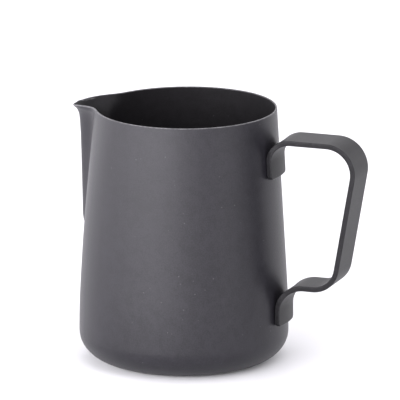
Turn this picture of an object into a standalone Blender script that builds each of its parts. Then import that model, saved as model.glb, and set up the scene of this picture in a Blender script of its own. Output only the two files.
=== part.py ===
"""Milk frothing pitcher: a one-piece deep-drawn steel jug with a pressed pouring
spout, and a bent flat-strip handle spot-welded to it by two tabs.

Frame: metres, +Z up. The origin is on the jug's axis at the centre of its flat
base. The spout points along -X and the handle along +X, and the object is
mirror-symmetric about the XZ plane.
"""
import math

import bmesh
import bpy
from mathutils import Matrix, Vector

MM = 0.001

# ---- Driving dimensions, in metres ----
HEIGHT = 111.0 * MM            # base to the level part of the rim
BODY_RADIUS = 45.2 * MM        # widest outer radius, in the lower third
RIM_RADIUS = 40.1 * MM         # outer radius of the round part of the rim
BASE_RADIUS = 30.0 * MM        # the flat part of the base
CORNER_HEIGHT = 12.6 * MM      # height of the elliptic rounding from the base to the wall
SIDE_ARC = 400.0 * MM          # big arc that turns the wall into its straight taper
WALL = 0.8 * MM                # sheet thickness of the jug

SPOUT_FOOT = 50.0 * MM         # height where the spout's keel leaves the wall
SPOUT_RUN = 10.3 * MM          # height over which the keel swings out of the wall
KEEL_FOOT = 45.9 * MM          # the keel's distance from the axis above that swing
KEEL_TOP = 47.4 * MM           # the same at the height of the rim, without the lip
LIP_FLARE = 2.8 * MM           # how far the lip turns out beyond the keel
LIP_FADE = 1.5 * MM            # how quickly that turn-out fades below the lip
LIP_FLARE_SPREAD = math.radians(16.0)   # how far round from the keel it reaches
LIP_DIP = 2.2 * MM             # how far the tip of the lip lies below the flanks
LIP_DIP_SPREAD = math.radians(12.0)     # and how far round that drop reaches
FLANK_DIP = 0.15 * MM          # how far the pressing lowers the rim beside the spout
FLANK_PULL = 1.94 * MM         # how far the pressing pulls that part of the rim in
FLANK_PULL_POWER = 1.5         # how that pull grows from the spout's foot up to the rim
FLANK_START = math.radians(26.0)    # the flank effects are whole up to this angle
FLANK_END = math.radians(140.0)     # and gone from this one on
SPREAD_TOP = math.radians(15.8)     # half-spread of the spout's bell at the rim
SPREAD_FOOT = math.radians(5.5)     # and at its foot
SPREAD_GROWTH = 6.0            # how late the spout widens on its way up to the rim
FLANK_STEEPNESS = 3.0          # how steeply its flanks stand out of the wall

STRAP_WIDTH = 18.0 * MM
STRAP_THICKNESS = 2.3 * MM
STRAP_GAP = 0.3 * MM           # clearance between the tabs and the wall
STRAP_TOP = 101.0 * MM         # height of the upper run's centre line
STRAP_BOTTOM = 37.4 * MM       # height of the lower run's centre line
STRAP_REACH_TOP = 82.0 * MM    # where the upper run would meet the grip's line
STRAP_REACH_BOTTOM = 70.9 * MM  # the same for the lower run
TAB_END_UPPER = 84.0 * MM      # height of the upper tab's free end
TAB_END_LOWER = 19.5 * MM      # and of the lower tab's
BEND_TAB_UPPER = 8.5 * MM      # bend radii, on the centre line
BEND_TOP = 12.0 * MM
BEND_BOTTOM = 10.8 * MM
BEND_TAB_LOWER = 10.9 * MM
TAB_CORNER = 2.0 * MM          # rounding of the tabs' free corners

WELD_RADIUS = 1.8 * MM
WELD_DEPTH = 1.0 * MM          # how deep a spot sits in the tab
WELD_CLEARANCE = 0.3 * MM      # between a spot and its pocket
WELD_SPACING = 9.0 * MM        # between the two spots of one tab
WELD_SETBACK = 3.2 * MM        # from the tab's free end to its spots

# ---- Mesh fineness ----
SPOUT_STEP = math.radians(1.5)      # spacing of the columns across the spout
SPOUT_COLUMNS = 20                  # columns on each side of the keel at that spacing
WALL_COLUMNS = 40                   # columns round the rest of the wall
CORNER_ROWS = 6
WALL_ROWS = 28
WALL_ROW_CROWDING = 1.8             # rows crowd towards the rim, where the lip turns out
BEND_ROWS = 8
TAB_CORNER_ROWS = 4
STRAP_COLUMNS = 6
WELD_SIDES = 24
SHARP_EDGE = math.radians(40.0)     # edges sharper than this aren't shaded smooth

PARTS_NAME = "milk_frothing_pitcher"
CUTTERS_NAME = "cutters"


# ---- Scene and materials ----
def clear_scene():
    for old in list(bpy.data.objects):
        bpy.data.objects.remove(old, do_unlink=True)


def new_collection(name):
    collection = bpy.data.collections.new(name)
    bpy.context.scene.collection.children.link(collection)
    return collection


def make_material(name, colour, roughness, metallic):
    material = bpy.data.materials.new(name)
    material.use_nodes = True
    shader = material.node_tree.nodes["Principled BSDF"]
    shader.inputs["Base Color"].default_value = (*colour, 1.0)
    shader.inputs["Roughness"].default_value = roughness
    shader.inputs["Metallic"].default_value = metallic
    material.diffuse_color = (*colour, 1.0)
    return material


def add_object(name, mesh, collection, material=None):
    made = bpy.data.objects.new(name, mesh)
    collection.objects.link(made)
    if material is not None:
        mesh.materials.append(material)
    return made


def mesh_from(name, vertices, faces):
    mesh = bpy.data.meshes.new(name)
    mesh.from_pydata(vertices, [], faces)
    mesh.validate()
    mesh.update()
    return mesh


def smooth(made):
    made.data.shade_smooth()
    made.data.set_sharp_from_angle(angle=SHARP_EDGE)


# ---- The jug's wall ----
def taper_start():
    """Height, radius and slope angle where the side arc becomes the straight taper.

    The taper is the tangent from the rim's edge to the side arc's circle.
    """
    centre = Vector((BODY_RADIUS - SIDE_ARC, CORNER_HEIGHT))
    to_rim = Vector((RIM_RADIUS, HEIGHT)) - centre
    angle = math.atan2(to_rim.y, to_rim.x) - math.acos(SIDE_ARC / to_rim.length)
    return (centre.y + SIDE_ARC * math.sin(angle),
            centre.x + SIDE_ARC * math.cos(angle),
            angle)


def wall_radius(z):
    """Outer radius of the round wall at height z, with no spout."""
    if z < CORNER_HEIGHT:
        drop = 1.0 - z / CORNER_HEIGHT
        return BASE_RADIUS + (BODY_RADIUS - BASE_RADIUS) * math.sqrt(1.0 - drop ** 2)
    start, radius, angle = taper_start()
    if z < start:
        rise = z - CORNER_HEIGHT
        return BODY_RADIUS - SIDE_ARC + math.sqrt(SIDE_ARC ** 2 - rise ** 2)
    return radius - (z - start) * math.tan(angle)


def ease(value):
    """0 below 0, 1 above 1, and a smooth step between."""
    value = min(max(value, 0.0), 1.0)
    return value * value * (3.0 - 2.0 * value)


def bell(angle, spread, steepness=2.0):
    return math.exp(-(abs(angle) / spread) ** steepness)


def flank(angle):
    """How strongly the pressing pulls the wall at this angle from the keel."""
    return 1.0 - ease((abs(angle) - FLANK_START) / (FLANK_END - FLANK_START))


def rim_height(angle):
    return HEIGHT - FLANK_DIP * flank(angle) - LIP_DIP * bell(angle, LIP_DIP_SPREAD)


def keel_radius(z):
    """The keel's distance from the axis at height z, without the lip's turn-out."""
    share = (z - SPOUT_FOOT) / (HEIGHT - SPOUT_FOOT)
    line = KEEL_FOOT + (KEEL_TOP - KEEL_FOOT) * share
    swing = ease((z - SPOUT_FOOT) / SPOUT_RUN)
    return wall_radius(z) + (line - wall_radius(z)) * swing


def jug_radius(angle, z):
    """Outer radius of the jug at an angle from the keel and a height."""
    round_radius = wall_radius(z)
    share = (z - SPOUT_FOOT) / (HEIGHT - SPOUT_FOOT)
    if share <= 0.0:
        return round_radius
    pull = FLANK_PULL * share ** FLANK_PULL_POWER
    spread = SPREAD_FOOT + (SPREAD_TOP - SPREAD_FOOT) * share ** SPREAD_GROWTH
    flare = LIP_FLARE * math.exp((z - rim_height(0.0)) / LIP_FADE)
    press = keel_radius(z) - round_radius + pull
    return (round_radius
            - pull * flank(angle)
            + press * bell(angle, spread, FLANK_STEEPNESS)
            + min(flare, LIP_FLARE) * bell(angle, LIP_FLARE_SPREAD))


def jug_columns():
    """Angles from the keel, all the way round, closer together across the spout."""
    near = [SPOUT_STEP * step for step in range(-SPOUT_COLUMNS, SPOUT_COLUMNS + 1)]
    edge = near[-1]
    sweep = 2.0 * math.pi - 2.0 * edge
    far = [math.remainder(edge + sweep * step / WALL_COLUMNS, 2.0 * math.pi)
           for step in range(1, WALL_COLUMNS)]
    return near + far


def jug_column(angle):
    """Points up the outer face at one angle, from the base's edge to the rim."""
    heights = [CORNER_HEIGHT * (1.0 - math.cos(math.pi / 2.0 * row / CORNER_ROWS))
               for row in range(CORNER_ROWS)]
    top = rim_height(angle)
    for row in range(WALL_ROWS + 1):
        rise = 1.0 - (1.0 - row / WALL_ROWS) ** WALL_ROW_CROWDING
        heights.append(CORNER_HEIGHT + (top - CORNER_HEIGHT) * rise)
    return [Vector((-jug_radius(angle, z) * math.cos(angle),
                    -jug_radius(angle, z) * math.sin(angle), z)) for z in heights]


def make_jug(parts):
    columns = [jug_column(angle) for angle in jug_columns()]
    rows = len(columns[0])
    vertices = [point for column in columns for point in column]
    faces = []
    for index in range(len(columns)):
        following = (index + 1) % len(columns)
        for row in range(rows - 1):
            faces.append((index * rows + row, following * rows + row,
                          following * rows + row + 1, index * rows + row + 1))
    faces.append([index * rows for index in reversed(range(len(columns)))])
    material = make_material("black_nonstick_coat", colour=(0.045, 0.047, 0.050),
                             roughness=0.42, metallic=0.0)
    jug = add_object("jug_body", mesh_from("jug_body", vertices, faces), parts, material)
    shell = jug.modifiers.new("sheet", "SOLIDIFY")
    shell.thickness = WALL
    shell.offset = -1.0
    shell.use_even_offset = True
    smooth(jug)
    return jug


# ---- The handle ----
def strap_corners():
    """Corners of the strap's centre line, in X and Z, from the upper tab's end down.

    The upper tab leans with the tapering wall; the lower one stands straight up.
    """
    stand_off = STRAP_GAP + STRAP_THICKNESS / 2.0
    upper_tab = wall_radius(TAB_END_UPPER) + stand_off
    upper_bend = wall_radius(STRAP_TOP) + stand_off
    lower_tab = BODY_RADIUS + stand_off
    return [Vector((upper_tab, TAB_END_UPPER)),
            Vector((upper_bend, STRAP_TOP)),
            Vector((STRAP_REACH_TOP, STRAP_TOP)),
            Vector((STRAP_REACH_BOTTOM, STRAP_BOTTOM)),
            Vector((lower_tab, STRAP_BOTTOM)),
            Vector((lower_tab, TAB_END_LOWER))]


def bend_points(before, corner, after, radius):
    """Points of the arc that rounds one corner of the centre line."""
    arriving = (before - corner).normalized()
    leaving = (after - corner).normalized()
    half = arriving.angle(leaving) / 2.0
    centre = corner + (arriving + leaving).normalized() * radius / math.sin(half)
    first = corner + arriving * radius / math.tan(half) - centre
    last = corner + leaving * radius / math.tan(half) - centre
    turn = first.angle_signed(last)
    points = []
    for row in range(BEND_ROWS + 1):
        angle = -turn * row / BEND_ROWS
        points.append(centre + Matrix.Rotation(angle, 2) @ first)
    return points


def tab_points(end, inner):
    """Points of a tab's rounded end, from its edge to where it has its full width."""
    along = (inner - end).normalized()
    return [end + along * TAB_CORNER * (1.0 - math.cos(math.pi / 2.0 * row / TAB_CORNER_ROWS))
            for row in range(TAB_CORNER_ROWS + 1)]


def strap_line():
    """Points of the whole centre line, each with its share of the jug's roundness.

    The tabs follow the round wall; the runs between the first and last bends are flat.
    """
    corners = strap_corners()
    radii = [BEND_TAB_UPPER, BEND_TOP, BEND_BOTTOM, BEND_TAB_LOWER]
    line = [(point, 1.0) for point in tab_points(corners[0], corners[1])]
    for index, radius in enumerate(radii):
        bend = bend_points(corners[index], corners[index + 1], corners[index + 2], radius)
        for row, point in enumerate(bend):
            share = ease(row / BEND_ROWS)
            roundness = {0: 1.0 - share, 3: share}.get(index, 0.0)
            line.append((point, roundness))
    line += [(point, 1.0) for point in reversed(tab_points(corners[5], corners[4]))]
    return line


def half_width(distance):
    """Half the strap's width at a distance from its free end."""
    short = TAB_CORNER - min(distance, TAB_CORNER)
    return STRAP_WIDTH / 2.0 - TAB_CORNER + math.sqrt(TAB_CORNER ** 2 - short ** 2)


def strap_rows():
    """Rows of points across the strap's middle surface."""
    line = strap_line()
    points = [point for point, _ in line]
    length = sum((b - a).length for a, b in zip(points, points[1:]))
    rows = []
    travelled = 0.0
    for index, (point, roundness) in enumerate(line):
        if index:
            travelled += (point - points[index - 1]).length
        half = half_width(min(travelled, length - travelled))
        radius = wall_radius(point.y) + STRAP_GAP + STRAP_THICKNESS / 2.0
        row = []
        for column in range(STRAP_COLUMNS + 1):
            y = half * (2.0 * column / STRAP_COLUMNS - 1.0)
            wrap = roundness * (radius - math.sqrt(radius ** 2 - y ** 2))
            row.append(Vector((point.x - wrap, y, point.y)))
        rows.append(row)
    return rows


def weld_places():
    """Name, centre on the tab's inner face and outward direction of each weld spot."""
    upper = TAB_END_UPPER + WELD_SETBACK
    lower = TAB_END_LOWER + WELD_SETBACK
    tabs = (("upper", upper, wall_radius(upper)), ("lower", lower, BODY_RADIUS))
    places = []
    for tab, z, wall in tabs:
        face_radius = wall + STRAP_GAP
        for side, sign in (("near", -1.0), ("far", 1.0)):
            turn = sign * math.asin(WELD_SPACING / 2.0 / face_radius)
            outward = Vector((math.cos(turn), math.sin(turn), 0.0))
            centre = outward * face_radius
            centre.z = z
            places.append((f"spot_weld_{tab}_{side}", centre, outward))
    return places


def add_disc(name, centre, outward, radius, start, end, collection, material=None):
    """A cylinder along outward, from start to end as measured from centre."""
    form = bmesh.new()
    bmesh.ops.create_cone(form, cap_ends=True, segments=WELD_SIDES,
                          radius1=radius, radius2=radius, depth=end - start)
    mesh = bpy.data.meshes.new(name)
    form.to_mesh(mesh)
    form.free()
    made = add_object(name, mesh, collection, material)
    made.rotation_mode = "QUATERNION"
    made.rotation_quaternion = outward.to_track_quat("Z", "Y")
    made.location = centre + outward * (start + end) / 2.0
    return made


def make_handle(parts, cutters):
    rows = strap_rows()
    count = STRAP_COLUMNS + 1
    vertices = [point for row in rows for point in row]
    faces = []
    for index in range(len(rows) - 1):
        for column in range(STRAP_COLUMNS):
            first = index * count + column
            faces.append((first, first + 1, first + count + 1, first + count))
    material = make_material("black_nonstick_handle", colour=(0.050, 0.052, 0.055),
                             roughness=0.45, metallic=0.0)
    handle = add_object("handle", mesh_from("handle", vertices, faces), parts, material)
    strap = handle.modifiers.new("strap", "SOLIDIFY")
    strap.thickness = STRAP_THICKNESS
    strap.offset = 0.0
    strap.use_even_offset = True
    for name, centre, outward in weld_places():
        pocket = add_disc(f"pocket_{name}", centre, outward, WELD_RADIUS + WELD_CLEARANCE,
                          -WELD_CLEARANCE, WELD_DEPTH + WELD_CLEARANCE, cutters)
        pocket.hide_render = True
        pocket.display_type = "WIRE"
        cut = handle.modifiers.new(f"pocket_{name}", "BOOLEAN")
        cut.operation = "DIFFERENCE"
        cut.object = pocket
    smooth(handle)
    return handle


def make_welds(parts):
    material = make_material("weld_steel", colour=(0.32, 0.31, 0.30),
                             roughness=0.45, metallic=1.0)
    for name, centre, outward in weld_places():
        weld = add_disc(name, centre, outward, WELD_RADIUS, 0.0, WELD_DEPTH, parts, material)
        smooth(weld)


def main():
    clear_scene()
    parts = new_collection(PARTS_NAME)
    cutters = new_collection(CUTTERS_NAME)
    make_jug(parts)
    make_handle(parts, cutters)
    make_welds(parts)


main()
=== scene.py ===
"""Looks of the milk frothing pitcher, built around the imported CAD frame.

Metres, +Z up, origin on the jug's axis at the centre of its flat base, spout
along -X and handle along +X. The jug, the handle and the weld spots are built
again here with finer meshes at the same sizes, and stand for the CAD nodes.
"""

import math

import bmesh
import bpy
from mathutils import Matrix, Vector


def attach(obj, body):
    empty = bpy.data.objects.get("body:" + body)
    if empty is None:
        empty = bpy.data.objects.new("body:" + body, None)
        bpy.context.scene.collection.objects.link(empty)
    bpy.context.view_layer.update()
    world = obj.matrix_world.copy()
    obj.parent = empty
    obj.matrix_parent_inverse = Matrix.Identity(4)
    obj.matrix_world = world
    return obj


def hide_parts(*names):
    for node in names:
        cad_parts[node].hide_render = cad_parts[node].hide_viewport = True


MM = 0.001

# ---- The object's own sizes, the same as the CAD's ----
HEIGHT = 111.0 * MM            # base to the level part of the rim
BODY_RADIUS = 45.2 * MM        # widest, just above the rounding from the base
RIM_RADIUS = 40.1 * MM
BASE_RADIUS = 30.0 * MM        # the flat part of the base
CORNER_HEIGHT = 12.6 * MM      # rounding from the base to the wall
SIDE_ARC = 400.0 * MM          # big arc that turns the wall into its straight taper
WALL = 0.8 * MM                # sheet thickness

SPOUT_FOOT = 50.0 * MM         # height where the spout's keel leaves the wall
SPOUT_RUN = 10.3 * MM          # height over which the keel swings out of the wall
KEEL_FOOT = 45.9 * MM          # the keel's straight line at its foot, from the axis
KEEL_TOP = 47.4 * MM           # the same at the height of the rim, without the lip
LIP_FLARE = 2.8 * MM           # how far the lip turns out beyond the keel
LIP_FADE = 1.5 * MM            # how quickly that turn-out fades below the lip
LIP_FLARE_SPREAD = math.radians(16.0)   # how far round from the keel it reaches
LIP_DIP = 2.2 * MM             # how far the tip of the lip lies below the flanks
LIP_DIP_SPREAD = math.radians(12.0)     # and how far round that drop reaches
FLANK_DIP = 0.15 * MM          # how far the pressing lowers the rim beside the spout
FLANK_PULL = 1.94 * MM         # how far the pressing pulls that part of the rim in
FLANK_PULL_POWER = 1.5         # how that pull grows from the spout's foot up to the rim
FLANK_START = math.radians(26.0)    # the flank effects are whole up to this angle
FLANK_END = math.radians(140.0)     # and gone from this one on
SPREAD_TOP = math.radians(15.8)     # half-spread of the spout's bell at the rim
SPREAD_FOOT = math.radians(5.5)     # and at its foot
SPREAD_GROWTH = 6.0            # how late the spout widens on its way up to the rim
FLANK_STEEPNESS = 3.0          # how steeply its flanks stand out of the wall

STRAP_WIDTH = 18.0 * MM
STRAP_THICKNESS = 2.3 * MM
STRAP_GAP = 0.3 * MM           # clearance between the tabs and the wall
STRAP_TOP = 101.0 * MM         # height of the upper run's centre line
STRAP_BOTTOM = 37.4 * MM       # height of the lower run's centre line
STRAP_REACH_TOP = 82.0 * MM    # where the upper run would meet the grip's line
STRAP_REACH_BOTTOM = 70.9 * MM  # the same for the lower run
TAB_END_UPPER = 84.0 * MM      # height of the upper tab's free end
TAB_END_LOWER = 19.5 * MM      # and of the lower tab's
BEND_TAB_UPPER = 8.5 * MM      # bend radii, on the centre line
BEND_TOP = 12.0 * MM
BEND_BOTTOM = 10.8 * MM
BEND_TAB_LOWER = 10.9 * MM
TAB_CORNER = 2.0 * MM          # rounding of the tabs' free corners

WELD_RADIUS = 1.8 * MM
WELD_DEPTH = 1.0 * MM          # how deep a spot sits in the tab
WELD_CLEARANCE = 0.3 * MM      # between a spot and its pocket
WELD_SPACING = 9.0 * MM        # between the two spots of one tab
WELD_SETBACK = 3.2 * MM        # from the tab's free end to its spots

# ---- Fineness and edge softness of the visible meshes ----
SPOUT_STEP = math.radians(1.5)      # spacing of the columns across the spout
SPOUT_COLUMNS = 26                  # columns on each side of the keel at that spacing
WALL_COLUMNS = 94                   # steps round the rest of the wall
CORNER_ROWS = 14
WALL_ROWS = 60
WALL_ROW_CROWDING = 1.8        # rows crowd towards the rim, where the lip turns out
RIM_ROUNDING = 0.28 * MM
BEND_ROWS = 20
TAB_CORNER_ROWS = 6
RUN_ROWS = 8                   # along each straight run up to a bend
STRAP_EDGE = 0.42 * MM         # rounding of the strap's arrises, along it and at its ends
STRAP_COLUMNS = (0.9 * MM, 3.0 * MM, 6.0 * MM)   # from the strap's sides inwards
EDGE_SEGMENTS = 4              # in every quarter circle of a rounded arris
WELD_SIDES = 40
WELD_FOOT = 0.96               # radius of a nugget's foot, as a share of its widest
WELD_SHOULDER = 0.35 * MM      # rounding from its side to its crown
WELD_SHOULDER_ROWS = 5
WELD_CROWN = 0.45              # radius of its crown, as a share of its widest
WELD_CROWN_DROP = 0.25         # how far the crown's edge lies below its top, in shoulders
NORMAL_WEIGHT = 80             # how far large faces lead the shading of small ones
STRAP_SHARP = math.radians(50.0)    # turns above this stay sharp in the strap's shading
SLOPE_STEP = 0.02 * MM         # for measuring the wall's slopes
SLACK = 0.01 * MM              # keeps the strap's fine bends inside the frame's coarse ones
BLUNT = 35.0                   # an arris is unmarked below this turn, in degrees a millimetre
SHARP = 90.0                   # and marked in full above this one

# ---- Camera ----
CAMERA_TURN = 20.0             # degrees round from looking along +Y
CAMERA_RISE = 14.1             # degrees above the floor
CAMERA_DISTANCE = 4.0
CAMERA_LENS = 834.8            # millimetres, as is the sensor's width
CAMERA_SENSOR = 36.0
CAMERA_CLIP = (0.1, 40.0)
CAMERA_AIM = Vector((0.0, 0.0, 52.0 * MM))
CAMERA_SLIDE_RIGHT = 6.94 * MM      # sideways and upwards, without turning
CAMERA_SLIDE_UP = 17.2 * MM

# ---- Studio lights: a ring of soft panels, as (degrees round from the camera, watts) ----
PANEL_AIM = Vector((0.0, 0.0, 50.0 * MM))
PANEL_DISTANCE = 1.4
PANEL_SIZE = (0.7, 0.7)
LOW_PANEL_RISE = 12.0          # degrees above the floor
LOW_PANELS = ((-165, 1.5), (-130, 5.6), (-100, 5.6), (-75, 9.0), (-50, 13.2), (-25, 13.8),
              (0, 6.3), (25, 1.5), (50, 5.4), (130, 2.2), (165, 1.5))
HIGH_PANEL_RISE = 45.0
HIGH_PANELS = ((-165, 2.4), (0, 0.9), (25, 4.0), (100, 2.6), (130, 1.5), (165, 2.2))
OVERHEAD_RISE = 89.0
OVERHEAD_SIZE = (1.4, 1.4)
OVERHEAD_POWER = 5.2
WORLD_STRENGTH = 0.46
LIGHT_COLOUR = (1.0, 0.985, 1.03)

# ---- Floor ----
FLOOR_REACH = 12.0             # from the middle to each side
FLOOR_DROP = 0.05 * MM         # below the jug's base
FLOOR_PATCH = 0.25             # size of the faint patches in its tone
FLOOR_DARK = (0.80, 0.80, 0.805)
FLOOR_LIGHT = (0.83, 0.83, 0.835)
FLOOR_ROUGHNESS = 0.9
FLOOR_GLOSS = 0.1

# ---- Coat ----
COAT_IOR = 1.38
GRAIN_SIZE = 0.55 * MM
GRAIN_HEIGHT = 0.05 * MM
GRAIN_STRENGTH = 0.7
MOTTLE_SIZE = 4.0 * MM
BROAD_SIZE = 28.0 * MM
BROAD_SHARE = 0.2              # how much each of the three counts in the coat's tone
GRAIN_SHARE = 0.7
MOTTLE_SHARE = 0.35
TONE_RANGE = (0.48, 0.76)      # sums of those that give the dark and the light colour
SPECK_SPACING = 2.2 * MM
SPECK_SIZE = (0.06, 0.16)      # where a speck starts to fade and ends, in spacings
SPECK_CHANCE = (0.72, 0.90)    # most cells have no speck, and few have a full one
SPECK_STRENGTH = 0.5
# Lighter colour on sharp arrises, strongest along the rim: partly wear, partly a painted
# highlight.
WEAR_AND_HIGHLIGHT_SIZE = 1.6 * MM           # size of the patches that the lighter edge colour comes in
WEAR_AND_HIGHLIGHT_RANGE = (0.3, 0.7)
WEAR_AND_HIGHLIGHT_LEAST = 0.25              # between the patches
WEAR_AND_HIGHLIGHT_STRENGTH = 0.9
GRAIN_ROUGHNESS = 0.2          # what each of these adds to the roughness
MOTTLE_ROUGHNESS = 0.06
WEAR_ROUGHNESS = -0.06
MEAN_ROUGHNESS = 0.13          # what the first two add on average
PEEL_SIZE = 1.8 * MM           # orange peel
PEEL_HEIGHT = 0.03 * MM
PEEL_STRENGTH = 0.3
CUT_EDGE_ROUGHNESS = 0.2       # the strap's sheared sides, which aren't blasted
CUT_EDGE_DULLING = 0.45        # how much of the coat's gloss they lack


# ---- Mesh helpers ----
def add_object(name, mesh, material):
    made = bpy.data.objects.new(name, mesh)
    bpy.context.scene.collection.objects.link(made)
    if material is not None:
        mesh.materials.append(material)
    return made


def mesh_from(name, vertices, faces):
    mesh = bpy.data.meshes.new(name)
    mesh.from_pydata(vertices, [], faces)
    mesh.validate()
    mesh.update()
    return mesh


def settle(made):
    """Turns the modifiers' result into the object's own mesh."""
    bpy.context.view_layer.update()
    graph = bpy.context.evaluated_depsgraph_get()
    mesh = bpy.data.meshes.new_from_object(made.evaluated_get(graph))
    mesh.name = made.name
    made.modifiers.clear()
    made.data = mesh


def outward_faces(made):
    form = bmesh.new()
    form.from_mesh(made.data)
    bmesh.ops.recalc_face_normals(form, faces=form.faces)
    form.to_mesh(made.data)
    form.free()


def finish_normals(made):
    made.data.shade_smooth()
    weighted = made.modifiers.new("normals", "WEIGHTED_NORMAL")
    weighted.weight = NORMAL_WEIGHT
    weighted.keep_sharp = True
    settle(made)


def sharpness(edge):
    """How fast the surface turns outwards across an edge, in degrees a millimetre."""
    narrowest = min(face.calc_area() for face in edge.link_faces) / edge.calc_length()
    return math.degrees(edge.calc_face_angle_signed(0.0)) * MM / narrowest


def mark_edges(made):
    """Stores how sharp an arris each vertex lies on, as "edge"."""
    form = bmesh.new()
    form.from_mesh(made.data)
    layer = form.verts.layers.float.new("edge")
    for vert in form.verts:
        sharpest = max(sharpness(edge) for edge in vert.link_edges)
        vert[layer] = ease((sharpest - BLUNT) / (SHARP - BLUNT))
    form.to_mesh(made.data)
    form.free()


# ---- The jug ----
def taper_start():
    centre = Vector((BODY_RADIUS - SIDE_ARC, CORNER_HEIGHT))
    to_rim = Vector((RIM_RADIUS, HEIGHT)) - centre
    angle = math.atan2(to_rim.y, to_rim.x) - math.acos(SIDE_ARC / to_rim.length)
    return (centre.y + SIDE_ARC * math.sin(angle),
            centre.x + SIDE_ARC * math.cos(angle),
            angle)


def wall_radius(z):
    if z < CORNER_HEIGHT:
        drop = 1.0 - z / CORNER_HEIGHT
        return BASE_RADIUS + (BODY_RADIUS - BASE_RADIUS) * math.sqrt(1.0 - drop ** 2)
    start, radius, angle = taper_start()
    if z < start:
        rise = z - CORNER_HEIGHT
        return BODY_RADIUS - SIDE_ARC + math.sqrt(SIDE_ARC ** 2 - rise ** 2)
    return radius - (z - start) * math.tan(angle)


def ease(value):
    value = min(max(value, 0.0), 1.0)
    return value * value * (3.0 - 2.0 * value)


def bell(angle, spread, steepness=2.0):
    return math.exp(-(abs(angle) / spread) ** steepness)


def flank(angle):
    return 1.0 - ease((abs(angle) - FLANK_START) / (FLANK_END - FLANK_START))


def rim_height(angle):
    return HEIGHT - FLANK_DIP * flank(angle) - LIP_DIP * bell(angle, LIP_DIP_SPREAD)


def keel_radius(z):
    share = (z - SPOUT_FOOT) / (HEIGHT - SPOUT_FOOT)
    line = KEEL_FOOT + (KEEL_TOP - KEEL_FOOT) * share
    swing = ease((z - SPOUT_FOOT) / SPOUT_RUN)
    return wall_radius(z) + (line - wall_radius(z)) * swing


def jug_radius(angle, z):
    round_radius = wall_radius(z)
    share = (z - SPOUT_FOOT) / (HEIGHT - SPOUT_FOOT)
    if share <= 0.0:
        return round_radius
    pull = FLANK_PULL * share ** FLANK_PULL_POWER
    spread = SPREAD_FOOT + (SPREAD_TOP - SPREAD_FOOT) * share ** SPREAD_GROWTH
    flare = LIP_FLARE * math.exp((z - rim_height(0.0)) / LIP_FADE)
    press = keel_radius(z) - round_radius + pull
    return (round_radius
            - pull * flank(angle)
            + press * bell(angle, spread, FLANK_STEEPNESS)
            + min(flare, LIP_FLARE) * bell(angle, LIP_FLARE_SPREAD))


def jug_columns():
    near = [SPOUT_STEP * step for step in range(-SPOUT_COLUMNS, SPOUT_COLUMNS + 1)]
    edge = near[-1]
    sweep = 2.0 * math.pi - 2.0 * edge
    far = [math.remainder(edge + sweep * step / WALL_COLUMNS, 2.0 * math.pi)
           for step in range(1, WALL_COLUMNS)]
    return near + far


def jug_point(angle, z):
    radius = jug_radius(angle, z)
    return Vector((-radius * math.cos(angle), -radius * math.sin(angle), z))


def outward_normal(angle, z):
    """Normal of the outer face, from its slopes round and up the jug."""
    turn = SLOPE_STEP / BODY_RADIUS
    around = jug_point(angle + turn, z) - jug_point(angle - turn, z)
    rise = jug_point(angle, z + SLOPE_STEP) - jug_point(angle, max(z - SLOPE_STEP, 0.0))
    return around.cross(rise).normalized()


def arc(centre, start, end, radius):
    """Points of a quarter circle from direction start to direction end."""
    steps = [math.pi / 2.0 * row / EDGE_SEGMENTS for row in range(EDGE_SEGMENTS + 1)]
    return [centre + (start * math.cos(turn) + end * math.sin(turn)) * radius
            for turn in steps]


def jug_column(angle):
    """Points at one angle: up the outer face, over the rounded rim and down the inner face."""
    heights = [CORNER_HEIGHT * (1.0 - math.cos(math.pi / 2.0 * row / CORNER_ROWS))
               for row in range(CORNER_ROWS)]
    top = rim_height(angle) - RIM_ROUNDING
    for row in range(WALL_ROWS + 1):
        rise = 1.0 - (1.0 - row / WALL_ROWS) ** WALL_ROW_CROWDING
        heights.append(CORNER_HEIGHT + (top - CORNER_HEIGHT) * rise)
    outer = [jug_point(angle, z) for z in heights]
    normals = [Vector((0.0, 0.0, -1.0))] + [outward_normal(angle, z) for z in heights[1:]]
    inner = [point - normal * WALL for point, normal in zip(outer, normals)]
    out = normals[-1]
    up = (outer[-1] - outer[-2]).normalized()
    rim = arc(outer[-1] - out * RIM_ROUNDING, out, up, RIM_ROUNDING)
    rim += arc(outer[-1] - out * (WALL - RIM_ROUNDING), up, -out, RIM_ROUNDING)
    return outer[:-1] + rim + inner[-2::-1]


def make_jug(outside, inside):
    columns = [jug_column(angle) for angle in jug_columns()]
    rows = len(columns[0])
    vertices = [point for column in columns for point in column]
    faces = []
    for index in range(len(columns)):
        following = (index + 1) % len(columns)
        for row in range(rows - 1):
            faces.append((index * rows + row, following * rows + row,
                          following * rows + row + 1, index * rows + row + 1))
    faces.append([index * rows for index in reversed(range(len(columns)))])
    faces.append([index * rows + rows - 1 for index in range(len(columns))])
    jug = add_object("jug_shell", mesh_from("jug_shell", vertices, faces), outside)
    jug.data.materials.append(inside)
    # Inner faces take the darker coat copy, which paints shade inside the jug.
    for face in jug.data.polygons:
        lowest_row = min(corner % rows for corner in face.vertices)
        face.material_index = int(lowest_row > rows // 2)
    outward_faces(jug)
    mark_edges(jug)
    finish_normals(jug)
    return jug


# ---- The handle ----
def strap_corners():
    stand_off = STRAP_GAP + STRAP_THICKNESS / 2.0
    upper_tab = wall_radius(TAB_END_UPPER) + stand_off
    upper_bend = wall_radius(STRAP_TOP) + stand_off
    lower_tab = BODY_RADIUS + stand_off
    return [Vector((upper_tab, TAB_END_UPPER)),
            Vector((upper_bend, STRAP_TOP)),
            Vector((STRAP_REACH_TOP, STRAP_TOP)),
            Vector((STRAP_REACH_BOTTOM, STRAP_BOTTOM)),
            Vector((lower_tab, STRAP_BOTTOM)),
            Vector((lower_tab, TAB_END_LOWER))]


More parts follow.
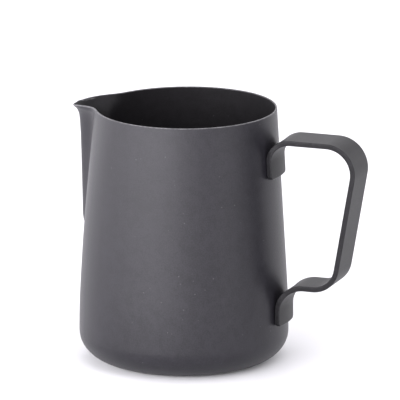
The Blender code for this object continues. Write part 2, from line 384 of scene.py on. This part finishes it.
def bend_points(before, corner, after, radius):
    arriving = (before - corner).normalized()
    leaving = (after - corner).normalized()
    half = arriving.angle(leaving) / 2.0
    centre = corner + (arriving + leaving).normalized() * radius / math.sin(half)
    first = corner + arriving * radius / math.tan(half) - centre
    last = corner + leaving * radius / math.tan(half) - centre
    turn = first.angle_signed(last)
    return [centre + Matrix.Rotation(-turn * row / BEND_ROWS, 2) @ first
            for row in range(BEND_ROWS + 1)]


def tab_points(end, inner):
    """Points of a tab's end, close together over its rounded edge and its corners."""
    along = (inner - end).normalized()
    steps = [STRAP_EDGE * (1.0 - math.cos(math.pi / 2.0 * row / EDGE_SEGMENTS))
             for row in range(EDGE_SEGMENTS + 1)]
    steps += [STRAP_EDGE + (TAB_CORNER - STRAP_EDGE) * row / TAB_CORNER_ROWS
              for row in range(1, TAB_CORNER_ROWS + 1)]
    return [end + along * step for step in steps]


def strap_line():
    """Points of the strap's centre line, each with its share of the jug's roundness."""
    corners = strap_corners()
    radii = [BEND_TAB_UPPER, BEND_TOP, BEND_BOTTOM, BEND_TAB_LOWER]
    line = [(point, 1.0) for point in tab_points(corners[0], corners[1])]
    for index, radius in enumerate(radii):
        bend = bend_points(corners[index], corners[index + 1], corners[index + 2], radius)
        last_point, last_roundness = line[-1]
        for row in range(1, RUN_ROWS):
            line.append((last_point.lerp(bend[0], row / RUN_ROWS), last_roundness))
        for row, point in enumerate(bend):
            share = ease(row / BEND_ROWS)
            roundness = {0: 1.0 - share, 3: share}.get(index, 0.0)
            line.append((point, roundness))
    line += [(point, 1.0) for point in reversed(tab_points(corners[5], corners[4]))]
    return line


def rounded_off(size, radius, distance):
    """A half size that shrinks along a quarter circle over the last bit before an end."""
    short = radius - min(distance, radius)
    return size - radius + math.sqrt(radius ** 2 - short ** 2)


def strap_section(width, thickness):
    """Rounded rectangle, as places across the strap and through it, for half sizes."""
    inner = width - STRAP_EDGE
    columns = [width - set_in * width / (STRAP_WIDTH / 2.0) for set_in in STRAP_COLUMNS]
    face = [inner] + columns + [0.0] + [-y for y in columns[::-1]] + [-inner]
    section = []
    for side in (1.0, -1.0):
        top = thickness - STRAP_EDGE
        section += [(side * y, side * thickness) for y in face]
        for row in range(1, EDGE_SEGMENTS + 1):
            turn = math.pi / 2.0 * row / EDGE_SEGMENTS
            section.append((-side * (inner + STRAP_EDGE * math.sin(turn)),
                            side * (top + STRAP_EDGE * math.cos(turn))))
        for row in range(EDGE_SEGMENTS):
            turn = math.pi / 2.0 * row / EDGE_SEGMENTS
            section.append((-side * (inner + STRAP_EDGE * math.cos(turn)),
                            -side * (top + STRAP_EDGE * math.sin(turn))))
    return section


def strap_rings():
    """Rings round the strap's section, all along its centre line.

    Each point comes with how far it lies on a cut side or end of the strap, 0 to 1.
    """
    line = strap_line()
    points = [point for point, _ in line]
    length = sum((b - a).length for a, b in zip(points, points[1:]))
    rings = []
    travelled = 0.0
    for index, (point, roundness) in enumerate(line):
        if index:
            travelled += (point - points[index - 1]).length
        distance = min(travelled, length - travelled)
        width = rounded_off(STRAP_WIDTH / 2.0, TAB_CORNER, distance)
        thickness = rounded_off(STRAP_THICKNESS / 2.0 - SLACK, STRAP_EDGE, distance)
        along = (points[min(index + 1, len(points) - 1)] - points[max(index - 1, 0)]).normalized()
        through = Vector((along.y, -along.x))
        radius = wall_radius(point.y) + STRAP_GAP + STRAP_THICKNESS / 2.0
        end_share = 1.0 - min(distance / STRAP_EDGE, 1.0)
        ring = []
        for y, depth in strap_section(width, thickness):
            side_share = max(abs(y) - (width - STRAP_EDGE), 0.0) / STRAP_EDGE
            turn = math.asin(y / radius) * roundness
            wrap = roundness * (radius - math.sqrt(radius ** 2 - y ** 2))
            place = Vector((point.x - wrap + through.x * depth * math.cos(turn),
                            y + through.x * depth * math.sin(turn),
                            point.y + through.y * depth))
            ring.append((place, max(side_share, end_share)))
        rings.append(ring)
    return rings


def weld_places():
    """Name, centre on the tab's inner face and outward direction of each weld spot."""
    upper = TAB_END_UPPER + WELD_SETBACK
    lower = TAB_END_LOWER + WELD_SETBACK
    tabs = (("upper", upper, wall_radius(upper)), ("lower", lower, BODY_RADIUS))
    places = []
    for tab, z, wall in tabs:
        face_radius = wall + STRAP_GAP
        for side, sign in (("near", -1.0), ("far", 1.0)):
            turn = sign * math.asin(WELD_SPACING / 2.0 / face_radius)
            outward = Vector((math.cos(turn), math.sin(turn), 0.0))
            centre = outward * face_radius
            centre.z = z
            places.append((f"spot_weld_{tab}_{side}", centre, outward))
    return places


def disc_mesh(name, centre, outward, profile):
    """A turned solid: profile is (radius, height along outward) from one pole to the other."""
    turn = outward.to_track_quat("Z", "Y").to_matrix().to_4x4()
    place = Matrix.Translation(centre) @ turn
    vertices = [place @ Vector((0.0, 0.0, profile[0][1]))]
    for radius, height in profile[1:-1]:
        for side in range(WELD_SIDES):
            angle = 2.0 * math.pi * side / WELD_SIDES
            vertices.append(place @ Vector((radius * math.cos(angle),
                                            radius * math.sin(angle), height)))
    vertices.append(place @ Vector((0.0, 0.0, profile[-1][1])))
    faces = []
    last = len(vertices) - 1
    rings = len(profile) - 2
    for side in range(WELD_SIDES):
        following = (side + 1) % WELD_SIDES
        faces.append((0, 1 + following, 1 + side))
        for ring in range(rings - 1):
            low = 1 + ring * WELD_SIDES
            high = low + WELD_SIDES
            faces.append((low + side, low + following, high + following, high + side))
        top = 1 + (rings - 1) * WELD_SIDES
        faces.append((last, top + side, top + following))
    return mesh_from(name, vertices, faces)


def make_handle(material):
    rings = strap_rings()
    count = len(rings[0])
    vertices = [point for ring in rings for point, _ in ring]
    faces = []
    for index in range(len(rings) - 1):
        for place in range(count):
            following = (place + 1) % count
            faces.append((index * count + place, index * count + following,
                          (index + 1) * count + following, (index + 1) * count + place))
    faces.append(list(reversed(range(count))))
    faces.append([(len(rings) - 1) * count + place for place in range(count)])
    handle = add_object("handle_strap", mesh_from("handle_strap", vertices, faces), material)
    cut_marks = handle.data.attributes.new("cut", "FLOAT", "POINT")
    cut_marks.data.foreach_set("value", [share for ring in rings for _, share in ring])
    outward_faces(handle)
    pockets = []
    for name, centre, outward in weld_places():
        radius = WELD_RADIUS + WELD_CLEARANCE
        bottom = -WELD_CLEARANCE
        top = WELD_DEPTH + WELD_CLEARANCE
        profile = [(0.0, bottom), (radius, bottom), (radius, top), (0.0, top)]
        pocket = add_object(f"pocket_{name}", disc_mesh(name, centre, outward, profile), None)
        cut = handle.modifiers.new(name, "BOOLEAN")
        cut.operation = "DIFFERENCE"
        cut.object = pocket
        pockets.append(pocket)
    settle(handle)
    for pocket in pockets:
        bpy.data.objects.remove(pocket, do_unlink=True)
    mark_edges(handle)
    handle.data.shade_smooth()
    handle.data.set_sharp_from_angle(angle=STRAP_SHARP)
    finish_normals(handle)
    return handle


def make_welds(material):
    """Cushion-shaped nuggets: a flat foot, a rounded shoulder and a low crown."""
    profile = [(0.0, 0.0), (WELD_RADIUS * WELD_FOOT, 0.0)]
    for row in range(WELD_SHOULDER_ROWS + 1):
        angle = math.pi / 2.0 * row / WELD_SHOULDER_ROWS
        profile.append((WELD_RADIUS - WELD_SHOULDER * (1.0 - math.cos(angle)),
                        WELD_DEPTH - WELD_SHOULDER * (2.0 - math.sin(angle))))
    profile.append((WELD_RADIUS * WELD_CROWN, WELD_DEPTH - WELD_SHOULDER * WELD_CROWN_DROP))
    profile.append((0.0, WELD_DEPTH))
    welds = []
    for name, centre, outward in weld_places():
        weld = add_object(f"{name}_nugget", disc_mesh(name, centre, outward, profile), material)
        mark_edges(weld)
        finish_normals(weld)
        welds.append((name, weld))
    return welds


# ---- Materials ----
class Nodes:
    """Short calls for building one material's node tree."""

    def __init__(self, name):
        self.material = bpy.data.materials.new(name)
        self.material.use_nodes = True
        self.tree = self.material.node_tree
        self.shader = self.tree.nodes["Principled BSDF"]
        self.place = self.add("ShaderNodeTexCoord").outputs["Object"]

    def add(self, kind, **settings):
        node = self.tree.nodes.new(kind)
        for key, value in settings.items():
            setattr(node, key, value)
        return node

    def link(self, value, socket):
        if isinstance(value, bpy.types.NodeSocket):
            self.tree.links.new(value, socket)
        else:
            socket.default_value = value

    def noise(self, size, detail=2.0, roughness=0.5, stretch=None):
        """Noise of about 0 to 1 whose features are size metres across."""
        node = self.add("ShaderNodeTexNoise")
        node.inputs["Scale"].default_value = 1.0 / size
        node.inputs["Detail"].default_value = detail
        node.inputs["Roughness"].default_value = roughness
        place = self.place
        if stretch is not None:
            mapping = self.add("ShaderNodeMapping")
            mapping.inputs["Scale"].default_value = stretch
            self.link(place, mapping.inputs["Vector"])
            place = mapping.outputs["Vector"]
        self.link(place, node.inputs["Vector"])
        return node.outputs["Fac"]

    def cells(self, size):
        """Distance to the nearest of points strewn about size apart, and its colour."""
        node = self.add("ShaderNodeTexVoronoi")
        node.inputs["Scale"].default_value = 1.0 / size
        self.link(self.place, node.inputs["Vector"])
        return node.outputs["Distance"], node.outputs["Color"]

    def math(self, operation, first, second=0.0, third=0.0):
        node = self.add("ShaderNodeMath", operation=operation)
        for value, socket in zip((first, second, third), node.inputs):
            self.link(value, socket)
        return node.outputs["Value"]

    def remap(self, value, span, out_low=0.0, out_high=1.0):
        """Takes the span's two ends smoothly to out_low and out_high."""
        node = self.add("ShaderNodeMapRange", interpolation_type="SMOOTHSTEP")
        for key, setting in (("Value", value), ("From Min", span[0]), ("From Max", span[1]),
                             ("To Min", out_low), ("To Max", out_high)):
            self.link(setting, node.inputs[key])
        return node.outputs["Result"]

    def mix(self, share, first, second):
        node = self.add("ShaderNodeMix", data_type="RGBA")
        self.link(share, node.inputs["Factor"])
        colour_inputs = [socket for socket in node.inputs if socket.type == "RGBA"]
        for value, socket in zip((first, second), colour_inputs):
            self.link(value if isinstance(value, bpy.types.NodeSocket) else (*value, 1.0), socket)
        return next(socket for socket in node.outputs if socket.type == "RGBA")

    def mark(self, name):
        """A value stored on the mesh's vertices."""
        return self.add("ShaderNodeAttribute", attribute_name=name).outputs["Fac"]

    def bump(self, height, distance, strength, under=None):
        node = self.add("ShaderNodeBump")
        node.inputs["Distance"].default_value = distance
        node.inputs["Strength"].default_value = strength
        self.link(height, node.inputs["Height"])
        if under is not None:
            self.link(under, node.inputs["Normal"])
        return node.outputs["Normal"]


def coat_material(name, dark, light, speck, wear_and_highlight, roughness, specular):
    """Matt non-stick coat: fine grain, faint mottling, sparse specks, and a lighter colour at
    sharp edges, partly wear and partly a painted highlight.
    """
    made = Nodes(name)
    made.shader.inputs["IOR"].default_value = COAT_IOR
    cut = made.mark("cut")
    gloss = made.math("MULTIPLY_ADD", cut, -CUT_EDGE_DULLING * specular, specular)
    made.link(gloss, made.shader.inputs["Specular IOR Level"])
    grain = made.noise(GRAIN_SIZE, 3.0, 0.65)
    mottle = made.noise(MOTTLE_SIZE, 4.0, 0.6)
    broad = made.noise(BROAD_SIZE, 2.0)
    tone = made.math("MULTIPLY", broad, BROAD_SHARE)
    tone = made.math("MULTIPLY_ADD", grain, GRAIN_SHARE, tone)
    tone = made.math("MULTIPLY_ADD", mottle, MOTTLE_SHARE, tone)
    colour = made.mix(made.remap(tone, TONE_RANGE), dark, light)
    distance, chance = made.cells(SPECK_SPACING)
    dot = made.remap(distance, SPECK_SIZE, 1.0, 0.0)
    chosen = made.remap(chance, SPECK_CHANCE, 0.0, SPECK_STRENGTH)
    colour = made.mix(made.math("MULTIPLY", dot, chosen), colour, speck)
    # Lighter colour on sharp arrises, strongest along the rim: partly wear, partly a painted
    # highlight.
    patch = made.remap(made.noise(WEAR_AND_HIGHLIGHT_SIZE, 3.0, 0.65), WEAR_AND_HIGHLIGHT_RANGE, WEAR_AND_HIGHLIGHT_LEAST, 1.0)
    wear_and_highlight_mask = made.math("MULTIPLY", made.mark("edge"), patch)
    colour = made.mix(made.math("MULTIPLY", wear_and_highlight_mask, WEAR_AND_HIGHLIGHT_STRENGTH), colour, wear_and_highlight)
    made.link(colour, made.shader.inputs["Base Color"])
    rough = made.math("MULTIPLY_ADD", grain, GRAIN_ROUGHNESS, roughness - MEAN_ROUGHNESS)
    rough = made.math("MULTIPLY_ADD", mottle, MOTTLE_ROUGHNESS, rough)
    rough = made.math("MULTIPLY_ADD", wear_and_highlight_mask, WEAR_ROUGHNESS, rough)
    rough = made.math("MULTIPLY_ADD", cut, CUT_EDGE_ROUGHNESS - roughness, rough)
    made.link(rough, made.shader.inputs["Roughness"])
    peel = made.bump(made.noise(PEEL_SIZE, 1.0), PEEL_HEIGHT, PEEL_STRENGTH)
    normal = made.bump(grain, GRAIN_HEIGHT, GRAIN_STRENGTH, peel)
    made.link(normal, made.shader.inputs["Normal"])
    made.material.diffuse_color = (*dark, 1.0)
    return made.material


def weld_material():
    """Fused steel: grey and streaked, with straw-coloured patches and bluish arrises."""
    dark_steel, pale_steel = (0.30, 0.29, 0.28), (0.46, 0.45, 0.43)
    straw, blue = (0.30, 0.22, 0.15), (0.16, 0.17, 0.22)
    made = Nodes("weld_steel")
    streaks = made.noise(0.25 * MM, 3.0, 0.6, stretch=(1.0, 1.0, 6.0))
    tint = made.noise(1.2 * MM, 2.0)
    colour = made.mix(streaks, dark_steel, pale_steel)
    colour = made.mix(made.remap(tint, (0.45, 0.75)), colour, straw)
    colour = made.mix(made.math("MULTIPLY", made.mark("edge"), 0.5), colour, blue)
    made.link(colour, made.shader.inputs["Base Color"])
    made.link(made.math("MULTIPLY_ADD", streaks, 0.25, 0.3), made.shader.inputs["Roughness"])
    made.shader.inputs["Metallic"].default_value = 1.0
    made.link(made.bump(streaks, 0.03 * MM, 0.6), made.shader.inputs["Normal"])
    return made.material


def make_materials():
    outside = coat_material("nonstick_outside",
                            dark=(0.0080, 0.0075, 0.0098), light=(0.0146, 0.0137, 0.0176),
                            speck=(0.09, 0.09, 0.095), wear_and_highlight=(0.12, 0.118, 0.122),
                            roughness=0.41, specular=0.5)
    # The inside coat is a darker, duller copy of the outside one: painted shade inside the jug.
    inside = coat_material("nonstick_inside_painted_shade",
                           dark=(0.0060, 0.0055, 0.0062), light=(0.0096, 0.0089, 0.0101),
                           speck=(0.045, 0.045, 0.047), wear_and_highlight=(0.12, 0.118, 0.122),
                           roughness=0.55, specular=0.24)
    handle = coat_material("nonstick_handle",
                           dark=(0.0082, 0.0080, 0.0086), light=(0.0140, 0.0136, 0.0146),
                           speck=(0.06, 0.06, 0.063), wear_and_highlight=(0.019, 0.0185, 0.020),
                           roughness=0.46, specular=0.37)
    return outside, inside, handle, weld_material()


# ---- Stage, lights and camera ----
def make_floor():
    corners = [(x * FLOOR_REACH, y * FLOOR_REACH, 0.0)
               for x, y in ((-1.0, -1.0), (1.0, -1.0), (1.0, 1.0), (-1.0, 1.0))]
    mesh = mesh_from("studio_floor", corners, [(0, 1, 2, 3)])
    made = Nodes("pale_floor")
    tone = made.noise(FLOOR_PATCH, 3.0)
    made.link(made.mix(tone, FLOOR_DARK, FLOOR_LIGHT), made.shader.inputs["Base Color"])
    made.shader.inputs["Roughness"].default_value = FLOOR_ROUGHNESS
    made.shader.inputs["Specular IOR Level"].default_value = FLOOR_GLOSS
    floor = add_object("studio_floor", mesh, made.material)
    floor.location.z = -FLOOR_DROP


def direction(turn, rise):
    """Unit vector to a place turn degrees round from -Y and rise degrees up."""
    turn, rise = math.radians(turn), math.radians(rise)
    return Vector((math.sin(turn) * math.cos(rise), -math.cos(turn) * math.cos(rise),
                   math.sin(rise)))


def add_softbox(name, turn, rise, size, power):
    """A square area light round the object, facing it."""
    light = bpy.data.lights.new(name, "AREA")
    light.shape = "RECTANGLE"
    light.size, light.size_y = size
    light.energy = power
    light.color = LIGHT_COLOUR
    made = bpy.data.objects.new(name, light)
    back = direction(CAMERA_TURN + turn, rise)
    made.location = PANEL_AIM + back * PANEL_DISTANCE
    made.rotation_mode = "QUATERNION"
    made.rotation_quaternion = back.to_track_quat("Z", "Y")
    made.visible_camera = False
    bpy.context.scene.collection.objects.link(made)


def make_lights():
    world = bpy.data.worlds.new("studio")
    bpy.context.scene.world = world
    world.use_nodes = True
    background = world.node_tree.nodes["Background"]
    background.inputs["Color"].default_value = (*LIGHT_COLOUR, 1.0)
    background.inputs["Strength"].default_value = WORLD_STRENGTH
    for turn, power in LOW_PANELS:
        add_softbox(f"panel_{turn}", turn, LOW_PANEL_RISE, PANEL_SIZE, power)
    for turn, power in HIGH_PANELS:
        add_softbox(f"high_{turn}", turn, HIGH_PANEL_RISE, PANEL_SIZE, power)
    add_softbox("overhead", 0.0, OVERHEAD_RISE, OVERHEAD_SIZE, OVERHEAD_POWER)


def make_camera():
    back = direction(CAMERA_TURN, CAMERA_RISE)
    right = direction(CAMERA_TURN + 90.0, 0.0)
    up = back.cross(right)
    data = bpy.data.cameras.new("camera")
    data.lens = CAMERA_LENS
    data.sensor_width = CAMERA_SENSOR
    data.clip_start, data.clip_end = CAMERA_CLIP
    camera = bpy.data.objects.new("camera", data)
    camera.location = (CAMERA_AIM + back * CAMERA_DISTANCE
                       + right * CAMERA_SLIDE_RIGHT + up * CAMERA_SLIDE_UP)
    camera.rotation_mode = "QUATERNION"
    camera.rotation_quaternion = back.to_track_quat("Z", "Y")
    bpy.context.scene.collection.objects.link(camera)
    bpy.context.scene.camera = camera


# ---- Main ----
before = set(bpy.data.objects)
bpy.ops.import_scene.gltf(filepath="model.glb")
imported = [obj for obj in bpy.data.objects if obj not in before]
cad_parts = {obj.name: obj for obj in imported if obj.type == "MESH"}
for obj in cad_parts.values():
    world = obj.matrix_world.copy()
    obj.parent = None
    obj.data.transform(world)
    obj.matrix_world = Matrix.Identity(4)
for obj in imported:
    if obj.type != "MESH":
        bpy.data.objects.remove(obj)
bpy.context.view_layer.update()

outside_coat, inside_coat_painted_shade, handle_coat, weld_steel = make_materials()

jug = make_jug(outside_coat, inside_coat_painted_shade)
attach(jug, "root")
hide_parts("jug_body")

handle = make_handle(handle_coat)
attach(handle, "root")
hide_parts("handle")

for node, weld in make_welds(weld_steel):
    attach(weld, "root")
    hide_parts(node)

make_floor()
make_lights()
make_camera()
bpy.context.scene.view_settings.view_transform = "Standard"
